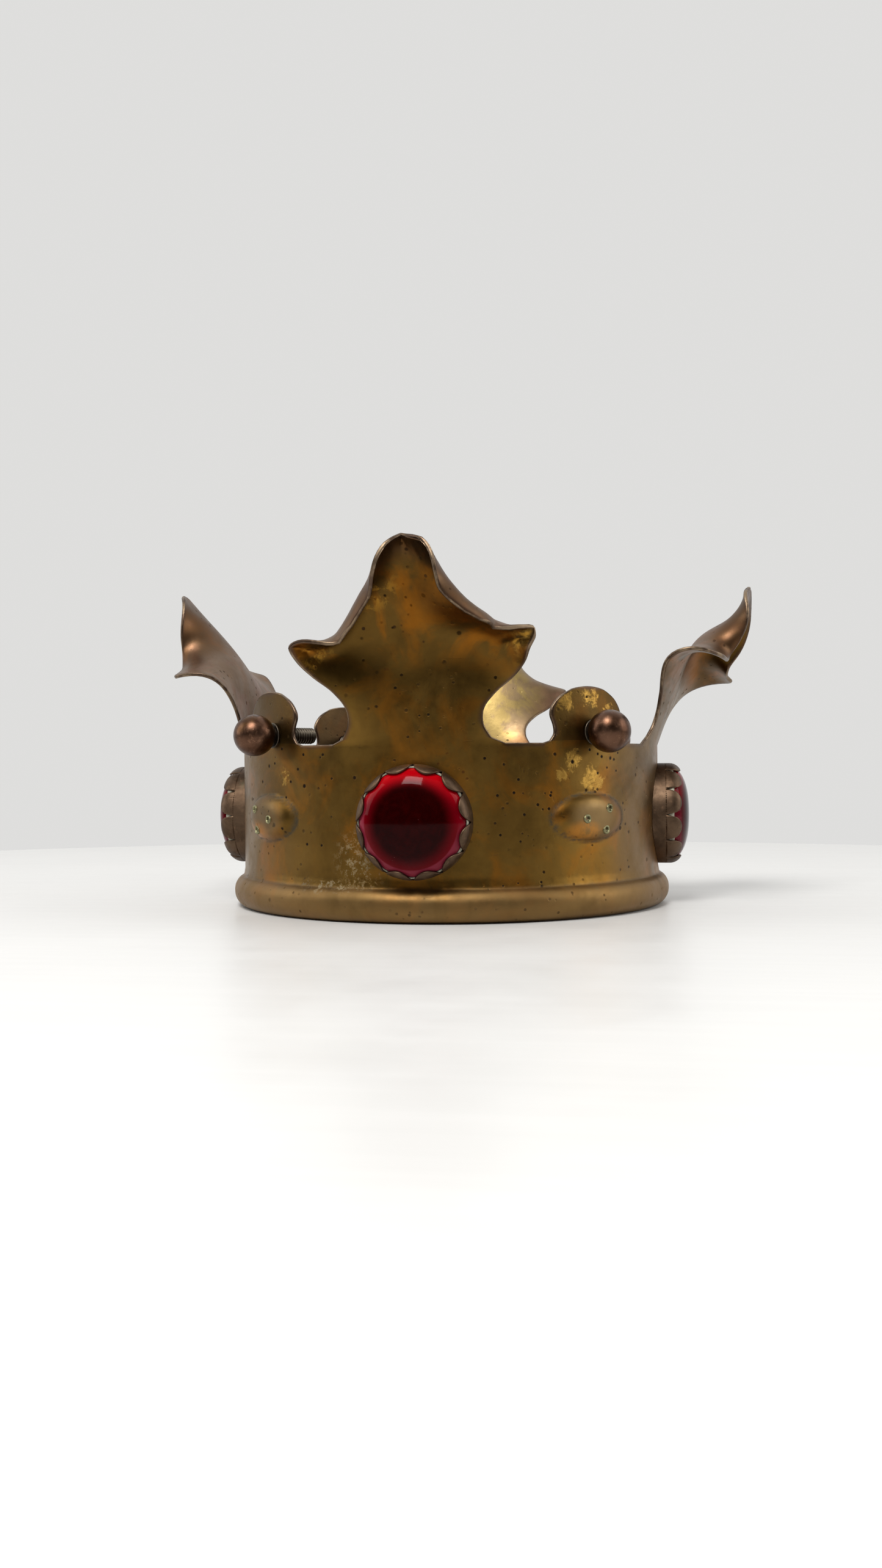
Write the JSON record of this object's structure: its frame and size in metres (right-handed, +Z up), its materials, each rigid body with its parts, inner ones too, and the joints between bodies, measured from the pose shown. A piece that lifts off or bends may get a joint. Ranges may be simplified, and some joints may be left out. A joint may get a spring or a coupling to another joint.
{
  "type": "crown",
  "caption": "Small sheet-brass crown with outcurved trefoil leaves, round lobes, clawed red glass stones and ball-headed screws through the band.",
  "frame": {"origin": "middle of the foot ring, on the plane that the crown stands on", "axes": "+Z up through the crown's middle; -Y towards the front leaf and stone; +X towards the leaf on the viewer's right"},
  "size_m": [0.1551, 0.1535, 0.086],
  "materials": {
    "shell_brass": "aged satin brass, olive-brown tarnish with rubbed gold patches, pits and scratches",
    "bezel_brass": "dark tarnished brass, greenish at the edges",
    "red_glass": "polished deep red glass, domed",
    "setting_cement": "pale matt cement",
    "knob_bronze": "dark coppery bronze, worn smooth",
    "screw_brass": "dull dark brass"
  },
  "bodies": {
    "shell": {"crown_shell": "shell_brass", "bezel_front": "bezel_brass", "bezel_right": "bezel_brass", "bezel_back": "bezel_brass", "bezel_left": "bezel_brass", "cabochon_front": "red_glass", "cabochon_right": "red_glass", "cabochon_back": "red_glass", "cabochon_left": "red_glass", "bedding_front": "setting_cement", "bedding_right": "setting_cement", "bedding_back": "setting_cement", "bedding_left": "setting_cement"},
    "washer_front_right": {"ball_washer_front_right": "screw_brass"},
    "washer_front_left": {"ball_washer_front_left": "screw_brass"},
    "washer_back_right": {"ball_washer_back_right": "screw_brass"},
    "washer_back_left": {"ball_washer_back_left": "screw_brass"},
    "screw_front_right": {"ball_knob_front_right": "knob_bronze", "screw_stud_front_right": "screw_brass"},
    "screw_front_left": {"ball_knob_front_left": "knob_bronze", "screw_stud_front_left": "screw_brass"},
    "screw_back_right": {"ball_knob_back_right": "knob_bronze", "screw_stud_back_right": "screw_brass"},
    "screw_back_left": {"ball_knob_back_left": "knob_bronze", "screw_stud_back_left": "screw_brass"}
  },
  "joints": [
    {"name": "travel_front_right", "type": "slide", "parent": "shell", "child": "washer_front_right", "axis": [0.7193, -0.6947, 0], "range_m": [0, 0.007]},
    {"name": "turn_front_right", "type": "hinge", "parent": "washer_front_right", "child": "screw_front_right", "pos_m": [0.04352, -0.04203, 0.0436], "axis": [0.7193, -0.6947, 0], "range_deg": [0, 3600]},
    {"name": "travel_front_left", "type": "slide", "parent": "shell", "child": "washer_front_left", "axis": [-0.6756, -0.7373, 0], "range_m": [0, 0.007]},
    {"name": "turn_front_left", "type": "hinge", "parent": "washer_front_left", "child": "screw_front_left", "pos_m": [-0.04087, -0.04461, 0.0436], "axis": [-0.6756, -0.7373, 0], "range_deg": [0, 3600]},
    {"name": "travel_back_right", "type": "slide", "parent": "shell", "child": "washer_back_right", "axis": [0.7071, 0.7071, 0], "range_m": [0, 0.007]},
    {"name": "turn_back_right", "type": "hinge", "parent": "washer_back_right", "child": "screw_back_right", "pos_m": [0.04278, 0.04278, 0.0436], "axis": [0.7071, 0.7071, 0], "range_deg": [0, 3600]},
    {"name": "travel_back_left", "type": "slide", "parent": "shell", "child": "washer_back_left", "axis": [-0.7071, 0.7071, 0], "range_m": [0, 0.007]},
    {"name": "turn_back_left", "type": "hinge", "parent": "washer_back_left", "child": "screw_back_left", "pos_m": [-0.04278, 0.04278, 0.0436], "axis": [-0.7071, 0.7071, 0], "range_deg": [0, 3600]}
  ],
  "couplings": [
    {"joint": "turn_front_right", "follows": "travel_front_right", "rad_per_m": 8976},
    {"joint": "turn_front_left", "follows": "travel_front_left", "rad_per_m": 8976},
    {"joint": "turn_back_right", "follows": "travel_back_right", "rad_per_m": 8976},
    {"joint": "turn_back_left", "follows": "travel_back_left", "rad_per_m": 8976}
  ]
}
